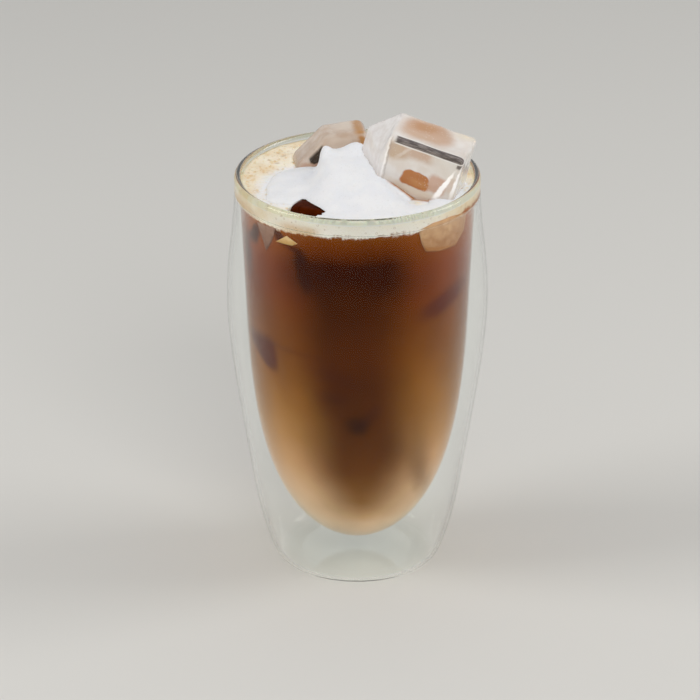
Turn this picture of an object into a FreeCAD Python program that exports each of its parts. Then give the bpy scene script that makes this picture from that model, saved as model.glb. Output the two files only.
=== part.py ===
import FreeCAD
import Part
import math
import os

# Iced cappuccino in a double-walled glass.
# Millimetres, +Z up. The origin is the centre of the glass's foot, on the surface it stands on.
# The viewer stands at -Y and has +X on the right.
# One blown glass holds the coffee, a band of coffee froth on it, a mound of white milk foam
# on the froth, and three ice blocks that stand up out of the drink.

V = FreeCAD.Vector

# ---------------------------------------------------------------- driving dimensions: glass
glass_height = 140.0
rim_radius = 41.2           # outside of the lip
lip_radius = 1.15           # half the thickness of the lip, where the two walls are fused
outer_wall = 1.4            # wall thickness of the outer shell
inner_wall = 1.3            # wall thickness of the bowl that holds the drink
foot_flat_outer = 25.0      # the ring that the glass stands on
foot_flat_inner = 19.0
foot_hollow = 0.8           # rise of the underside at its centre
foot_radius = 30.4          # where the foot's rounding runs out into the wall
foot_height = 7.0
flank_radius = 36.5         # outer shell part way up to the belly
flank_height = 35.0
upper_flank_radius = 41.2
upper_flank_height = 65.0
belly_radius = 43.9         # the widest part of the outer shell
belly_height = 103.0
shoulder_radius = 41.3      # outer shell just under the lip
shoulder_below_rim = 8.0
fuse_below_rim = 6.0        # top of the sealed space between the walls

# ---------------------------------------------------------------- driving dimensions: bowl
bowl_floor = 8.7            # inside of the bowl's round bottom, above the foot
bowl_round = 90.0           # height over which the bottom runs out into the side
bowl_power = 3.2            # higher is blunter
bowl_taper = 0.042          # how much the side leans in for each millimetre down
lip_flare = 0.75            # how far the bowl's mouth opens at the lip
flare_height = 8.0          # over this height under the lip

# ---------------------------------------------------------------- driving dimensions: drink
froth_below_rim = 1.9       # top of the froth at the wall
froth_depth = 4.8           # down to the coffee
fill_gap = 0.02             # between the bowl and what fills it

# ---------------------------------------------------------------- driving dimensions: milk foam
# Heights are over the froth. A thin sheet of foam carries a mound with a steep left side.
foam_gap = 0.4              # between the foam's rim and the glass
sheet_centre = (3.0, -15.0)
sheet_reach = (35.0, 30.0)
sheet_height = 1.8
mound_height = 6.9
mound_line = 2.0            # the y where the mound is highest
mound_front = 26.0          # how far it slopes to the viewer
mound_back = 9.0
mound_left = -12.6
mound_right = 12.5
left_edge = 0.45            # how gently the mound's sides rise
left_edge_growth = 0.1      # the left side is gentler to the front, by this for each millimetre
right_edge = 2.2
tips = [(-10.6, 3.5, 1.9, 1.7), (-0.6, 5.0, 2.9, 3.0)]   # x, y, height, spread of each soft peak
shelf = (-20.0, 1.0, 1.4, 6.0)      # x, y, height, spread of the low swell left of the mound
dips = [(-21.0, -30.5, 2.5, 5.5), (19.8, -20.8, 3.2, 2.8)]   # the same, downwards, by the ice
foam_step = 1.9             # spacing of the points that carry the foam's surface

# ---------------------------------------------------------------- driving dimensions: ice
# A block is drawn out from a front slice to a back slice. Its left side leans out by lean_front
# and lean_back over lean_down from the top. It is turned about X, then Y, then Z, in degrees.
# Its centre stands from_wall inside the bowl's mouth, in a direction in degrees from +X.
ice_blocks = {
    "ice_right": {
        "width": 25.8, "height": 31.0, "depth": 17.6, "back_growth": 1.04,
        "lean_front": 0.8, "lean_back": 11.0, "lean_down": 9.5, "edge": 1.5,
        "tilt": 7.0, "roll": 15.0, "turn": -14.5,
        "from_wall": 15.0, "direction": -24.21, "over_froth": 5.3,
    },
    "ice_back": {
        "width": 14.0, "height": 20.0, "depth": 15.0, "back_growth": 1.0,
        "lean_front": 11.5, "lean_back": 11.5, "lean_down": 9.0, "edge": 3.0,
        "tilt": 0.0, "roll": -6.0, "turn": 8.0,
        "from_wall": 20.81, "direction": 100.19, "over_froth": 1.6,
    },
    "ice_front": {
        "width": 16.0, "height": 16.0, "depth": 16.0, "back_growth": 1.0,
        "lean_front": 0.0, "lean_back": 0.0, "lean_down": 0.0, "edge": 3.0,
        "tilt": 6.4, "roll": 9.3, "turn": 60.9,
        "from_wall": 10.26, "direction": -119.33, "over_froth": -7.1,
    },
}

froth_top = glass_height - froth_below_rim
coffee_level = froth_top - froth_depth
lip_centre_height = glass_height - lip_radius
mouth_radius = rim_radius - 2 * lip_radius


# ---------------------------------------------------------------- curves in the XZ plane
def at(radius, height):
    return V(radius, 0, height)


def through(points, first_way=None, last_way=None):
    """A smooth curve through the points, leaving and arriving the given ways."""
    curve = Part.BSplineCurve()
    if first_way is None:
        curve.interpolate(points)
    else:
        curve.interpolate(
            Points=points, InitialTangent=first_way, FinalTangent=last_way, Scale=False
        )
    return curve


def bowl_radius(height):
    """Inside radius of the bowl at a height above the foot."""
    below_lip = lip_centre_height - height
    side = mouth_radius - lip_flare - bowl_taper * below_lip
    left = max(0.0, 1 - (height - bowl_floor) / bowl_round)
    rounding = math.sqrt(1 - left ** bowl_power)
    opening = max(0.0, 1 - below_lip / flare_height)
    return side * rounding + lip_flare * opening ** 2 * (3 - 2 * opening)


def bowl_curve():
    """The bowl's inside from its lowest point to the lip. Steps are short near the bottom."""
    steps = 16
    points = []
    for i in range(steps + 1):
        height = bowl_floor + (lip_centre_height - bowl_floor) * (i / steps) ** 2
        points.append(at(bowl_radius(height), height))
    return through(points, V(1, 0, 0), V(0, 0, 1))


def shell_curve():
    """The outside of the outer shell, from the foot's flat ring to the lip."""
    return through(
        [
            at(foot_flat_outer, 0),
            at(foot_radius, foot_height),
            at(flank_radius, flank_height),
            at(upper_flank_radius, upper_flank_height),
            at(belly_radius, belly_height),
            at(shoulder_radius, glass_height - shoulder_below_rim),
            at(rim_radius, lip_centre_height),
        ],
        V(1, 0, 0),
        V(0, 0, 1),
    )


def beside(curve, distance, top=None, steps=24):
    """A curve beside another: to its left for a positive distance, cut off level at a height."""
    last = curve.LastParameter
    if top is not None:
        last = curve.parameter(curve.intersectCC(level_line(top))[0].toShape().Point)
    points = []
    for i in range(steps + 1):
        u = curve.FirstParameter + (last - curve.FirstParameter) * (i / steps) ** 1.5
        way = curve.tangent(u)[0]
        point = curve.value(u)
        points.append(V(point.x - way.z * distance, 0, point.z + way.x * distance))
    first_way = curve.tangent(curve.FirstParameter)[0]
    last_way = curve.tangent(last)[0]
    return through(points, first_way, last_way)


def level_line(height):
    return Part.LineSegment(at(0, height), at(2 * belly_radius, height))


def line(start, end):
    return Part.LineSegment(start, end)


def turned(curves):
    """The solid of revolution about Z of a closed outline."""
    outline = Part.Wire([curve.toShape() for curve in curves])
    return Part.Face(outline).revolve(V(0, 0, 0), V(0, 0, 1), 360)


def hollow_arc(rise):
    """The foot's shallow hollow, from its centre to the flat ring, raised by a wall."""
    middle = foot_flat_inner / 2
    return Part.Arc(
        at(0, foot_hollow + rise),
        at(middle, foot_hollow * 0.75 + rise),
        at(foot_flat_inner, rise),
    )


# ---------------------------------------------------------------- glass
def glass():
    """Two walls fused at the lip, with a sealed space between them."""
    shell = shell_curve()
    bowl = bowl_curve()
    lip = Part.Arc(
        at(rim_radius, lip_centre_height),
        at(rim_radius - lip_radius, glass_height),
        at(mouth_radius, lip_centre_height),
    )
    body = turned(
        [
            hollow_arc(0),
            line(at(foot_flat_inner, 0), at(foot_flat_outer, 0)),
            shell,
            lip,
            bowl,
            line(at(0, bowl_floor), at(0, foot_hollow)),
        ]
    )
    fuse_height = glass_height - fuse_below_rim
    inner_side = beside(shell, outer_wall, fuse_height)
    bowl_side = beside(bowl, -inner_wall, fuse_height)
    space = turned(
        [
            hollow_arc(outer_wall),
            line(at(foot_flat_inner, outer_wall), at(foot_flat_outer, outer_wall)),
            inner_side,
            line(inner_side.EndPoint, bowl_side.EndPoint),
            bowl_side,
            line(bowl_side.StartPoint, at(0, foot_hollow + outer_wall)),
        ]
    )
    return body.cut(space)


# ---------------------------------------------------------------- what fills the bowl
def bowl_space(gap):
    """The inside of the bowl up to the middle of the lip, less a gap at the wall."""
    side = beside(bowl_curve(), gap)
    top = side.EndPoint.z
    return turned(
        [side, line(side.EndPoint, at(0, top)), line(at(0, top), side.StartPoint)]
    )


def slab(low, high):
    return Part.makeCylinder(2 * belly_radius, high - low, V(0, 0, low))


def soft_step(distance, width):
    return 1 / (1 + math.exp(-distance / width))


def bump(x, y, centre_x, centre_y, height, spread):
    square = (x - centre_x) ** 2 + (y - centre_y) ** 2
    return height * math.exp(-square / (2 * spread ** 2))


def foam_height(x, y):
    """Height of the milk foam's surface over the froth. Below zero there is no foam."""
    across = (x - sheet_centre[0]) / sheet_reach[0]
    along = (y - sheet_centre[1]) / sheet_reach[1]
    sheet = sheet_height * (1 - min(across ** 2 + along ** 2, 2.2) ** 2)
    left_side = soft_step(x - mound_left, left_edge + left_edge_growth * max(0, -y))
    right_side = soft_step(mound_right - x, right_edge)
    slope = mound_front if y < mound_line else mound_back
    mound = mound_height * right_side * math.exp(-(((y - mound_line) / slope) ** 4))
    for tip in tips:
        mound += bump(x, y, *tip)
    hollow = sum(bump(x, y, *dip) for dip in dips)
    return sheet + mound * left_side + bump(x, y, *shelf) - hollow


def milk_foam():
    """The mound of foam: all that is under its surface, over the froth and inside the glass."""
    reach = mouth_radius + foam_step
    count = int(2 * reach / foam_step) + 1
    rows = []
    for i in range(count):
        x = -reach + 2 * reach * i / (count - 1)
        row = []
        for j in range(count):
            y = -reach + 2 * reach * j / (count - 1)
            row.append(V(x, y, froth_top + foam_height(x, y)))
        rows.append(row)
    surface = Part.BSplineSurface()
    surface.interpolate(rows)
    deep = glass_height
    under = surface.toShape().extrude(V(0, 0, -deep))
    room = Part.makeCylinder(mouth_radius - foam_gap, deep, V(0, 0, froth_top))
    return room.common(under)


# ---------------------------------------------------------------- ice
def slice_edge(size, y, lean, growth):
    """The outline of a block's front or back slice."""
    side = size["width"] / 2 * growth
    top = size["height"] / 2
    corners = [V(-side, y, top), V(side, y, top), V(side, y, -top), V(-side - lean, y, -top)]
    if size["lean_down"] > 0:
        corners.append(V(-side - lean, y, top - size["lean_down"]))
    return Part.makePolygon(corners + corners[:1])


def ice_block(size):
    """One ice block in its place, with rounded edges."""
    half = size["depth"] / 2
    front = slice_edge(size, -half, size["lean_front"], 1)
    back = slice_edge(size, half, size["lean_back"], size["back_growth"])
    block = Part.makeLoft([front, back], True, True)
    block = block.makeFillet(size["edge"], block.Edges)
    for axis, angle in ((V(1, 0, 0), "tilt"), (V(0, 1, 0), "roll"), (V(0, 0, 1), "turn")):
        block.rotate(V(0, 0, 0), axis, size[angle])
    from_axis = mouth_radius - size["from_wall"]
    direction = math.radians(size["direction"])
    across = from_axis * math.cos(direction)
    along = from_axis * math.sin(direction)
    block.translate(V(across, along, froth_top + size["over_froth"]))
    return block


def largest(shape):
    return max(shape.Solids, key=lambda solid: solid.Volume)


# ---------------------------------------------------------------- all pieces
def build():
    ice = {name: ice_block(size) for name, size in ice_blocks.items()}
    inside = bowl_space(fill_gap)
    pieces = {
        "glass": glass(),
        "coffee": inside.common(slab(0, coffee_level)),
        "froth": inside.common(slab(coffee_level, froth_top)),
        "milk_foam": milk_foam(),
    }
    for name in ("coffee", "froth", "milk_foam"):
        for block in ice.values():
            pieces[name] = pieces[name].cut(block)
        pieces[name] = largest(pieces[name])
    pieces.update(ice)
    return pieces


os.makedirs("parts", exist_ok=True)
for name, shape in build().items():
    solid = largest(shape)
    print(f"{name}: {solid.Volume / 1000:.2f} cm3, valid {solid.isValid()}")
    solid.exportStep(f"parts/{name}.step")
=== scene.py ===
import math

import bmesh
import bpy
import numpy as np
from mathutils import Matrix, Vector, noise
from mathutils.bvhtree import BVHTree


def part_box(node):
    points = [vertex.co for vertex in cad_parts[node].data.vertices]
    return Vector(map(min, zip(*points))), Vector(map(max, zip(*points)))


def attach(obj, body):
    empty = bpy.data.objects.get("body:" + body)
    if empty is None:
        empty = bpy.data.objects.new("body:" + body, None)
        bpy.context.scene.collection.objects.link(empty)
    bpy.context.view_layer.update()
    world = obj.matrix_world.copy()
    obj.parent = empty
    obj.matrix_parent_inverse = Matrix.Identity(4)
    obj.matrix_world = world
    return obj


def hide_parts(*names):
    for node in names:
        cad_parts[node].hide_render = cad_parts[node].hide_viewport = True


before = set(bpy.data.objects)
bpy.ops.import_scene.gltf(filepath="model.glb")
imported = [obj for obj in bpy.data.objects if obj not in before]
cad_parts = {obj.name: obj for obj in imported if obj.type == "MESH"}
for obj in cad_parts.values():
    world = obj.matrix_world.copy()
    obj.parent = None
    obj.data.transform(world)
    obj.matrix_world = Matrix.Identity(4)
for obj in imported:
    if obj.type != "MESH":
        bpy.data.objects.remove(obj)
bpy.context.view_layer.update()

mm = 0.001
_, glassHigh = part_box("glass")
frothLow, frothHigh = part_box("froth")
glassHeight = glassHigh[2] / mm
frothTop = frothHigh[2] / mm
coffeeLevel = frothLow[2] / mm
print(f"frame: glass {glassHeight:.1f} mm high, froth from {coffeeLevel:.1f} to {frothTop:.1f} mm")


# small helpers for node trees and meshes
def put(tree, kind, links=None, **settings):
    node = tree.nodes.new(kind)
    for name, value in settings.items():
        setattr(node, name, value)
    for socket, source in (links or {}).items():
        if isinstance(source, bpy.types.NodeSocket):
            tree.links.new(source, node.inputs[socket])
        else:
            node.inputs[socket].default_value = source
    return node


def maths(tree, operation, first, second=0.0, clamp=False):
    links = {0: first}
    if operation not in ("SINE", "COSINE", "FLOOR", "ABSOLUTE"):
        links[1] = second
    return put(tree, "ShaderNodeMath", links, operation=operation, use_clamp=clamp).outputs[0]


def plus(tree, first, second, clamp=False):
    return maths(tree, "ADD", first, second, clamp)


def minus(tree, first, second):
    return maths(tree, "SUBTRACT", first, second)


def times(tree, first, second):
    return maths(tree, "MULTIPLY", first, second)


def timesPlus(tree, first, second, third):
    return put(tree, "ShaderNodeMath", {0: first, 1: second, 2: third}, operation="MULTIPLY_ADD").outputs[0]


def vectorMaths(tree, operation, first, second):
    return put(tree, "ShaderNodeVectorMath", {0: first, 1: second}, operation=operation).outputs[0]


def scaled(tree, vector, factor):
    return put(tree, "ShaderNodeVectorMath", {0: vector, "Scale": factor}, operation="SCALE").outputs[0]


def lengthOf(tree, vector):
    return put(tree, "ShaderNodeVectorMath", {0: vector}, operation="LENGTH").outputs["Value"]


def partsOf(tree, vector):
    return put(tree, "ShaderNodeSeparateXYZ", {0: vector}).outputs


def vectorOf(tree, x, y, z=0.0):
    return put(tree, "ShaderNodeCombineXYZ", {0: x, 1: y, 2: z}).outputs[0]


def smoothRange(tree, value, low, high, newLow=0.0, newHigh=1.0):
    links = {"Value": value, "From Min": low, "From Max": high, "To Min": newLow, "To Max": newHigh}
    return put(tree, "ShaderNodeMapRange", links, interpolation_type="SMOOTHSTEP").outputs[0]


def mixColours(tree, factor, first, second):
    links = {0: factor, 6: first, 7: second}
    return put(tree, "ShaderNodeMix", links, data_type="RGBA", clamp_factor=True).outputs[2]


def colour(red, green, blue):
    # display values out of 255 as the linear values that a socket takes
    values = []
    for value in (red, green, blue):
        value = value / 255
        values.append(value / 12.92 if value <= 0.04045 else ((value + 0.055) / 1.055) ** 2.4)
    return (*values, 1.0)


def added(name, mesh):
    thing = bpy.data.objects.new(name, mesh)
    bpy.context.scene.collection.objects.link(thing)
    return thing


def newMaterial(name, finish):
    material = bpy.data.materials.new(name)
    material.use_nodes = True
    tree = material.node_tree
    shader = tree.nodes["Principled BSDF"]
    for socket, value in finish.items():
        shader.inputs[socket].default_value = value
    return material, tree, shader, tree.nodes["Material Output"]


def addRelief(tree, shader, height, strength, distance):
    values = {"Height": height, "Strength": strength, "Distance": distance * mm}
    tree.links.new(put(tree, "ShaderNodeBump", values).outputs[0], shader.inputs["Normal"])


def meshObject(name, points, faces, material):
    mesh = bpy.data.meshes.new(name)
    mesh.from_pydata([tuple(p) for p in points], [], faces)
    mesh.update()
    mesh.materials.append(material)
    return added(name, mesh)


def nodeCopy(node, name, material):
    # the CAD mesh is loose triangles, so the copy's doubles are merged
    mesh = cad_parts[node].data.copy()
    mesh.name = name
    shape = bmesh.new()
    shape.from_mesh(mesh)
    bmesh.ops.remove_doubles(shape, verts=shape.verts, dist=0.002 * mm)
    bmesh.ops.dissolve_degenerate(shape, edges=shape.edges, dist=0.001 * mm)
    shape.to_mesh(mesh)
    shape.free()
    mesh.materials.clear()
    mesh.materials.append(material)
    return added(name, mesh)


def finished(thing):
    # bakes what the modifiers give into a plain mesh
    evaluated = thing.evaluated_get(bpy.context.evaluated_depsgraph_get())
    mesh = bpy.data.meshes.new_from_object(evaluated)
    thing.modifiers.clear()
    old = thing.data
    thing.data = mesh
    mesh.name = thing.name
    if old.users == 0:
        bpy.data.meshes.remove(old)
    return thing


def remeshed(thing, voxel, smoothing):
    step = thing.modifiers.new("remesh", "REMESH")
    step.mode = "VOXEL"
    step.voxel_size = voxel * mm
    step.use_smooth_shade = True
    if smoothing:
        soften = thing.modifiers.new("soften", "SMOOTH")
        soften.factor = 0.5
        soften.iterations = smoothing
    return finished(thing)


def places(thing):
    values = np.empty(len(thing.data.vertices) * 3)
    thing.data.vertices.foreach_get("co", values)
    return values.reshape(-1, 3) / mm


def normalsOf(thing):
    values = np.empty(len(thing.data.vertices) * 3)
    thing.data.vertices.foreach_get("normal", values)
    return values.reshape(-1, 3)


def place(thing, points):
    thing.data.vertices.foreach_set("co", (points * mm).ravel())
    thing.data.update()


def noiseAt(points, scale, offset=0.0):
    move = Vector((offset, offset * 0.7, -offset))
    return np.array([noise.noise(Vector(p) * scale + move) for p in points])


def distanceTo(node, points):
    # how far each point, in millimetres, is from a node's surface
    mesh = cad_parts[node].data
    corners = [v.co / mm for v in mesh.vertices]
    surface = BVHTree.FromPolygons(corners, [tuple(face.vertices) for face in mesh.polygons])
    return np.array([surface.find_nearest(Vector(p))[3] for p in points])


def keepValues(thing, name, values):
    mark = thing.data.attributes.new(name, "FLOAT", "POINT")
    mark.data.foreach_set("value", values.astype(np.float32))


def allOf(thing, material):
    # gives every face of a cut or grown mesh one material
    thing.data.materials.clear()
    thing.data.materials.append(material)
    for face in thing.data.polygons:
        face.material_index = 0


def ridden(thing, slot, *nodes):
    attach(thing, "root")
    if nodes:
        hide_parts(*nodes)
    return thing


# camera, floor and lamps; places and sizes in metres
studio = {
    "cameraPlace": (0.0, -1.36385, 0.69443),
    "lookAt": (-0.002484, 0.00197, 0.0743),
    "lens": 226.67,
    "floor": {"Base Color": colour(216, 215, 212), "Roughness": 0.7, "Specular IOR Level": 0.2},
    "floorSide": 8.0,
    "backdrop": (0.9, 0.9, 0.89, 1.0),
    "ambient": 0.39,                # the backdrop's light on the object; lens and glass see it whole
    "aimHeight": 0.08,
    "lamps": [
        # name, place, size across and up, watts, colour, whether it shows in reflections
        ("leftBox", (-0.95, -0.15, 0.72), (0.5, 0.7), 5.3, (1.0, 0.985, 0.96), True),
        ("rightBox", (0.95, 0.1, 0.70), (0.5, 0.7), 4.6, (1.0, 0.985, 0.96), True),
        ("topBox", (0.1, 0.35, 1.1), (0.7, 0.7), 0.4, (1.0, 1.0, 1.0), True),
        ("frontBox", (0.3, -1.1, 0.95), (0.7, 0.5), 6.0, (1.0, 0.99, 0.97), False),
    ],
}


def makeStudio():
    scene = bpy.context.scene
    scene.view_settings.view_transform = "Standard"
    cameraData = bpy.data.cameras.new("camera")
    cameraData.lens = studio["lens"]
    cameraData.sensor_width = 36
    cameraData.clip_end = 50
    camera = bpy.data.objects.new("camera", cameraData)
    camera.location = studio["cameraPlace"]
    way = Vector(studio["lookAt"]) - camera.location
    camera.rotation_euler = way.to_track_quat("-Z", "Y").to_euler()
    scene.collection.objects.link(camera)
    scene.camera = camera

    material, _, _, _ = newMaterial("paleFloor", studio["floor"])
    side = studio["floorSide"] / 2
    corners = [(-side, -side, 0), (side, -side, 0), (side, side, 0), (-side, side, 0)]
    meshObject("floor", corners, [(0, 1, 2, 3)], material)

    world = bpy.data.worlds.new("studio")
    scene.world = world
    world.use_nodes = True
    tree = world.node_tree
    tree.nodes.clear()
    path = put(tree, "ShaderNodeLightPath")
    seen = maths(tree, "MAXIMUM", path.outputs["Is Camera Ray"], path.outputs["Is Transmission Ray"])
    seen = maths(tree, "MAXIMUM", seen, path.outputs["Is Glossy Ray"])
    strength = put(tree, "ShaderNodeMapRange", {"Value": seen, "To Min": studio["ambient"], "To Max": 1.0})
    links = {"Color": studio["backdrop"], "Strength": strength.outputs[0]}
    backdrop = put(tree, "ShaderNodeBackground", links)
    put(tree, "ShaderNodeOutputWorld", {"Surface": backdrop.outputs[0]})

    for name, spot, size, watts, tint, reflected in studio["lamps"]:
        data = bpy.data.lights.new(name, "AREA")
        data.shape = "RECTANGLE"
        data.size, data.size_y = size
        data.energy = watts
        data.color = tint
        lamp = bpy.data.objects.new(name, data)
        lamp.location = spot
        lamp.visible_glossy = reflected
        way = Vector((0, 0, studio["aimHeight"])) - lamp.location
        lamp.rotation_euler = way.to_track_quat("-Z", "Y").to_euler()
        scene.collection.objects.link(lamp)


makeStudio()
print("studio: camera, floor and lamps")


# the glass has the same sizes as the solid, in millimetres
glassSizes = {
    "rimRadius": 41.2,
    "lipRadius": 1.15,
    "outerWall": 1.4,
    "innerWall": 1.3,
    "footFlatOuter": 25.0,
    "footFlatInner": 19.0,
    "footHollow": 0.8,
    "shell": [(25.0, 0.0), (30.4, 7.0), (36.5, 35.0), (41.2, 65.0), (43.9, 103.0)],
    "shoulder": (41.3, 8.0),        # radius, and how far under the rim
    "fuseBelowRim": 6.0,
    "bowlFloor": 8.7,
    "bowlRound": 90.0,
    "bowlPower": 3.2,
    "bowlTaper": 0.042,
    "lipFlare": 0.75,
    "flareHeight": 8.0,
    "segments": 176,
    "lipDepth": 1.7,                # the thick glass of the lip looks greenish down to here
    "lipTint": (0.80, 0.82, 0.68, 1.0),
    "tint": (0.985, 0.995, 0.988, 1.0),
    "index": 1.47,
    "gloss": 0.08,
}
lipCentre = glassHeight - glassSizes["lipRadius"]
mouthRadius = glassSizes["rimRadius"] - 2 * glassSizes["lipRadius"]


def bowlRadius(height):
    sizes = glassSizes
    belowLip = lipCentre - height
    side = mouthRadius - sizes["lipFlare"] - sizes["bowlTaper"] * belowLip
    left = max(0.0, 1 - (height - sizes["bowlFloor"]) / sizes["bowlRound"])
    rounding = math.sqrt(max(0.0, 1 - left ** sizes["bowlPower"]))
    opening = max(0.0, 1 - belowLip / sizes["flareHeight"])
    return side * rounding + sizes["lipFlare"] * opening ** 2 * (3 - 2 * opening)


def splineThrough(points, firstWay, lastWay, steps):
    # a smooth cubic through the points that leaves and arrives the given ways
    points = np.array(points, float)
    spans = np.linalg.norm(np.diff(points, axis=0), axis=1)
    count = len(points)
    table = np.eye(count)
    right = np.zeros((count, 2))
    right[0], right[-1] = firstWay, lastWay
    for i in range(1, count - 1):
        before, after = spans[i - 1], spans[i]
        table[i, i - 1:i + 2] = 1 / before, 2 / before + 2 / after, 1 / after
        rise = (points[i] - points[i - 1]) / before ** 2 + (points[i + 1] - points[i]) / after ** 2
        right[i] = 3 * rise
    ways = np.linalg.solve(table, right)
    curve = []
    for i in range(count - 1):
        for t in np.linspace(0, 1, steps, endpoint=i == count - 2):
            a = (1 + 2 * t) * (1 - t) ** 2 * points[i] + t * (1 - t) ** 2 * spans[i] * ways[i]
            b = t * t * (3 - 2 * t) * points[i + 1] + t * t * (t - 1) * spans[i] * ways[i + 1]
            curve.append(a + b)
    return np.array(curve)


def shellCurve():
    sizes = glassSizes
    shoulder = (sizes["shoulder"][0], glassHeight - sizes["shoulder"][1])
    points = sizes["shell"] + [shoulder, (sizes["rimRadius"], lipCentre)]
    return splineThrough(points, (1, 0), (0, 1), 14)


def bowlCurve(steps=80):
    low = glassSizes["bowlFloor"]
    heights = [low + (lipCentre - low) * (i / steps) ** 2 for i in range(steps + 1)]
    return np.array([(bowlRadius(h), h) for h in heights])


def beside(curve, distance, top):
    # a curve beside another one, cut off level at a height
    ways = np.gradient(curve, axis=0)
    ways /= np.linalg.norm(ways, axis=1)[:, None]
    moved = curve + distance * np.stack([-ways[:, 1], ways[:, 0]], axis=1)
    kept = moved[moved[:, 1] < top - 0.2]
    radius = np.interp(top, moved[:, 1], moved[:, 0])
    return np.vstack([kept, [(radius, top)]])


def hollowArc(rise, steps=10):
    # the foot's shallow hollow, from the middle to where the flat ring starts
    radius, depth = glassSizes["footFlatInner"], glassSizes["footHollow"]
    return np.array([(radius * s, depth * (1 - s * s) + rise) for s in np.linspace(0, 1, steps)])


def footRing(height):
    ring = np.linspace(glassSizes["footFlatInner"], glassSizes["footFlatOuter"], 5)[1:]
    return [(s, height) for s in ring]


def outerProfile():
    radius = glassSizes["lipRadius"]
    middle = glassSizes["rimRadius"] - radius
    turns = np.linspace(0, math.pi, 14)[1:-1]
    lip = [(middle + radius * math.cos(a), lipCentre + radius * math.sin(a)) for a in turns]
    return np.vstack([hollowArc(0), footRing(0.0)[:-1], shellCurve(), lip, bowlCurve()[::-1]])


def spaceProfile():
    top = glassHeight - glassSizes["fuseBelowRim"]
    wall = glassSizes["outerWall"]
    side = beside(shellCurve(), wall, top)
    side = side[side[:, 1] > wall]
    bowl = beside(bowlCurve(), -glassSizes["innerWall"], top)
    bowl[0, 0] = 0.0
    return np.vstack([hollowArc(wall), footRing(wall), side, bowl[::-1]])


def latheTree():
    # turns the outline in the XZ plane that it is given about Z
    tree = bpy.data.node_groups.new("turnedAboutZ", "GeometryNodeTree")
    tree.interface.new_socket("Outline", in_out="INPUT", socket_type="NodeSocketGeometry")
    tree.interface.new_socket("Segments", in_out="INPUT", socket_type="NodeSocketInt").default_value = 64
    tree.interface.new_socket("Material", in_out="INPUT", socket_type="NodeSocketMaterial")
    tree.interface.new_socket("Solid", in_out="OUTPUT", socket_type="NodeSocketGeometry")
    given = put(tree, "NodeGroupInput")
    outline, segments = given.outputs["Outline"], given.outputs["Segments"]
    size = put(tree, "GeometryNodeAttributeDomainSize", {"Geometry": outline}, component="MESH")
    count = size.outputs["Point Count"]
    columns = plus(tree, segments, 1.0)
    grid = put(tree, "GeometryNodeMeshGrid", {"Vertices X": columns, "Vertices Y": count})
    index = put(tree, "GeometryNodeInputIndex").outputs[0]
    column = maths(tree, "FLOOR", maths(tree, "DIVIDE", plus(tree, index, 0.5), count))
    row = minus(tree, index, times(tree, column, count))
    position = put(tree, "GeometryNodeInputPosition").outputs[0]
    point = put(
        tree, "GeometryNodeSampleIndex", {"Geometry": outline, "Value": position, "Index": row},
        data_type="FLOAT_VECTOR", domain="POINT",
    )
    split = partsOf(tree, point.outputs[0])
    angle = times(tree, maths(tree, "DIVIDE", column, segments), 2 * math.pi)
    across = times(tree, split[0], maths(tree, "COSINE", angle))
    along = times(tree, split[0], maths(tree, "SINE", angle))
    spot = vectorOf(tree, across, along, split[2])
    moved = put(tree, "GeometryNodeSetPosition", {"Geometry": grid.outputs[0], "Position": spot})
    links = {"Geometry": moved.outputs[0], "Distance": 0.001 * mm}
    merged = put(tree, "GeometryNodeMergeByDistance", links)
    smooth = put(tree, "GeometryNodeSetShadeSmooth", {"Geometry": merged.outputs[0]})
    real = put(tree, "GeometryNodeRealizeInstances", {"Geometry": smooth.outputs[0]})
    links = {"Geometry": real.outputs[0], "Material": given.outputs["Material"]}
    painted = put(tree, "GeometryNodeSetMaterial", links)
    put(tree, "NodeGroupOutput", {"Solid": painted.outputs[0]})
    return tree


def growFrom(thing, tree, values):
    # runs a node tree on an object and keeps the result as its plain mesh
    step = thing.modifiers.new(tree.name, "NODES")
    step.node_group = tree
    names = {item.name: item.identifier for item in tree.interface.items_tree if item.in_out == "INPUT"}
    for name, value in values.items():
        step[names[name]] = value
    return finished(thing)


def outlineObject(name, points):
    mesh = bpy.data.meshes.new(name)
    rows = [(r * mm, 0.0, z * mm) for r, z in points]
    mesh.from_pydata(rows, [(i, i + 1) for i in range(len(rows) - 1)], [])
    return added(name, mesh)


def facing(thing, outwards=True):
    shape = bmesh.new()
    shape.from_mesh(thing.data)
    bmesh.ops.recalc_face_normals(shape, faces=shape.faces)
    if not outwards:
        bmesh.ops.reverse_faces(shape, faces=shape.faces)
    shape.to_mesh(thing.data)
    shape.free()
    return thing


def joined(name, things, material):
    shape = bmesh.new()
    for thing in things:
        shape.from_mesh(thing.data)
        bpy.data.objects.remove(thing)
    mesh = bpy.data.meshes.new(name)
    shape.to_mesh(mesh)
    shape.free()
    mesh.shade_smooth()
    whole = added(name, mesh)
    allOf(whole, material)
    return whole


def clearMaterial(name, tint, index, roughness, gloss=1.0, clear=1.0):
    material, tree, shader, output = newMaterial(name, {
        "Base Color": tint, "Roughness": roughness, "IOR": index, "Transmission Weight": clear,
        "Specular Tint": (gloss, gloss, gloss, 1.0),
    })
    # light from the lamps and from what stands round it goes straight through
    path = put(tree, "ShaderNodeLightPath").outputs
    through = put(tree, "ShaderNodeBsdfTransparent", {"Color": tint}).outputs[0]
    surface = shader.outputs[0]
    for ray in ("Is Diffuse Ray", "Is Shadow Ray"):
        surface = put(tree, "ShaderNodeMixShader", {0: path[ray], 1: surface, 2: through}).outputs[0]
    tree.links.new(surface, output.inputs["Surface"])
    return material, tree, shader


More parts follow.
